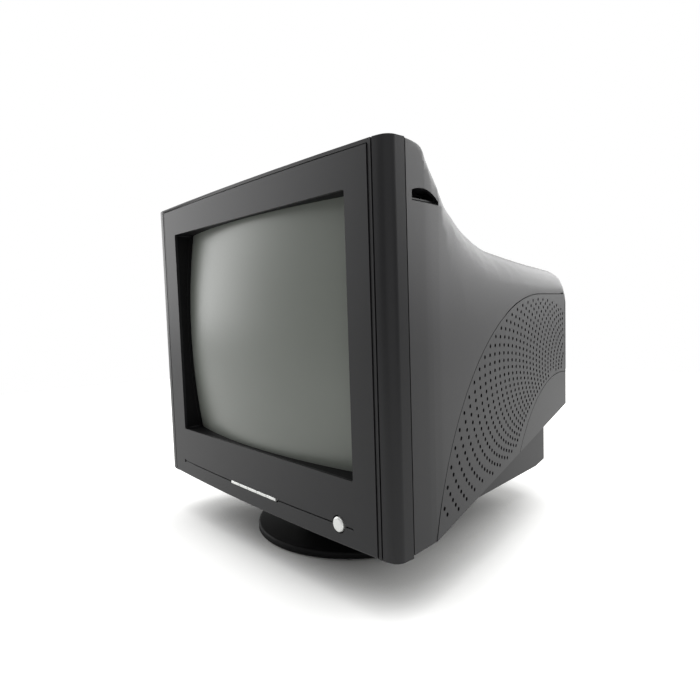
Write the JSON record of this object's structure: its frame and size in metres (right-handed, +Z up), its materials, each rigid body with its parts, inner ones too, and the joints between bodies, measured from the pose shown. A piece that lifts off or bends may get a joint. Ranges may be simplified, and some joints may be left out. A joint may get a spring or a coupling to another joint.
{
  "type": "crt monitor",
  "caption": "Deep cathode ray tube monitor with curved glass, a perforated side grille and a hollow sweeping back, on a round stand that tilts and swivels.",
  "frame": {"origin": "centre of the round stand, on the table", "axes": "+X to the right of someone who looks at the screen, +Y from the screen to the back, +Z up"},
  "size_m": [0.426, 0.43, 0.398],
  "materials": {
    "charcoal_plastic": "fine moulded texture",
    "grille_plastic": "fine moulded texture",
    "black_plastic": "fine moulded texture",
    "silver_plastic": "satin silver",
    "screen_glass": "polished",
    "tube_glass": "polished",
    "steel": "plated",
    "mask_steel": "blackened",
    "copper": "enamelled wire",
    "taped_wire": "taped bundle",
    "ferrite": "dull",
    "cream_plastic": "moulded",
    "circuit_board": "solder resist",
    "rubber_black": "matt",
    "rubber_red": "matt",
    "capacitor_sleeve": "sleeved",
    "bare_aluminium": "extruded",
    "dark_metal": "lacquered",
    "contact_brass": "plated"
  },
  "bodies": {
    "base": {"base_plate": "black_plastic", "base_feet": "rubber_black"},
    "swivel": {"swivel_hub": "black_plastic", "tilt_retainer": "black_plastic", "retainer_screw": "steel"},
    "cabinet": {"tilt_ball": "black_plastic", "ball_screws": "steel", "bottom_cover": "charcoal_plastic", "rear_cover": "charcoal_plastic", "side_grille_left": "grille_plastic", "side_grille_right": "grille_plastic", "front_bezel": "charcoal_plastic", "face_panel": "charcoal_plastic", "screen_mask": "black_plastic", "cover_screws": "steel", "crt_faceplate": "screen_glass", "crt_funnel": "tube_glass", "crt_neck": "tube_glass", "crt_base": "black_plastic", "electron_gun": "steel", "shadow_mask": "mask_steel", "mask_frame": "mask_steel", "implosion_band": "steel", "tube_screws": "steel", "degauss_coil": "taped_wire", "yoke_housing": "cream_plastic", "yoke_coils": "copper", "yoke_core": "ferrite", "convergence_rings": "black_plastic", "tube_socket": "cream_plastic", "neck_board": "circuit_board", "anode_cap": "rubber_red", "anode_lead": "rubber_red", "main_board": "circuit_board", "board_screws": "steel", "flyback_transformer": "black_plastic", "power_transformer": "dark_metal", "heatsinks": "bare_aluminium", "main_capacitors": "capacitor_sleeve", "power_inlet": "black_plastic", "inlet_pins": "contact_brass", "video_socket": "steel", "control_board": "circuit_board", "tact_switches": "black_plastic"},
    "power_key": {"power_button": "silver_plastic"},
    "key_1": {"control_button_1": "silver_plastic"},
    "key_2": {"control_button_2": "silver_plastic"},
    "key_3": {"control_button_3": "silver_plastic"},
    "key_4": {"control_button_4": "silver_plastic"},
    "key_5": {"control_button_5": "silver_plastic"}
  },
  "joints": [
    {"name": "swivel", "type": "hinge", "parent": "base", "child": "swivel", "pos_m": [0, 0, 0], "axis": [0, 0, 1], "range_deg": [-45, 45]},
    {"name": "tilt", "type": "hinge", "parent": "swivel", "child": "cabinet", "pos_m": [0, 0, 0.121], "axis": [-1, 0, 0], "range_deg": [-5, 12]},
    {"name": "power_press", "type": "slide", "parent": "cabinet", "child": "power_key", "axis": [0, 1, 0], "range_m": [0, 0.002], "stiffness_N_per_m": 700, "springref_m": -0.001},
    {"name": "key_1_press", "type": "slide", "parent": "cabinet", "child": "key_1", "axis": [0, 1, 0], "range_m": [0, 0.0008], "stiffness_N_per_m": 1200, "springref_m": -0.0006},
    {"name": "key_2_press", "type": "slide", "parent": "cabinet", "child": "key_2", "axis": [0, 1, 0], "range_m": [0, 0.0008], "stiffness_N_per_m": 1200, "springref_m": -0.0006},
    {"name": "key_3_press", "type": "slide", "parent": "cabinet", "child": "key_3", "axis": [0, 1, 0], "range_m": [0, 0.0008], "stiffness_N_per_m": 1200, "springref_m": -0.0006},
    {"name": "key_4_press", "type": "slide", "parent": "cabinet", "child": "key_4", "axis": [0, 1, 0], "range_m": [0, 0.0008], "stiffness_N_per_m": 1200, "springref_m": -0.0006},
    {"name": "key_5_press", "type": "slide", "parent": "cabinet", "child": "key_5", "axis": [0, 1, 0], "range_m": [0, 0.0008], "stiffness_N_per_m": 1200, "springref_m": -0.0006}
  ]
}
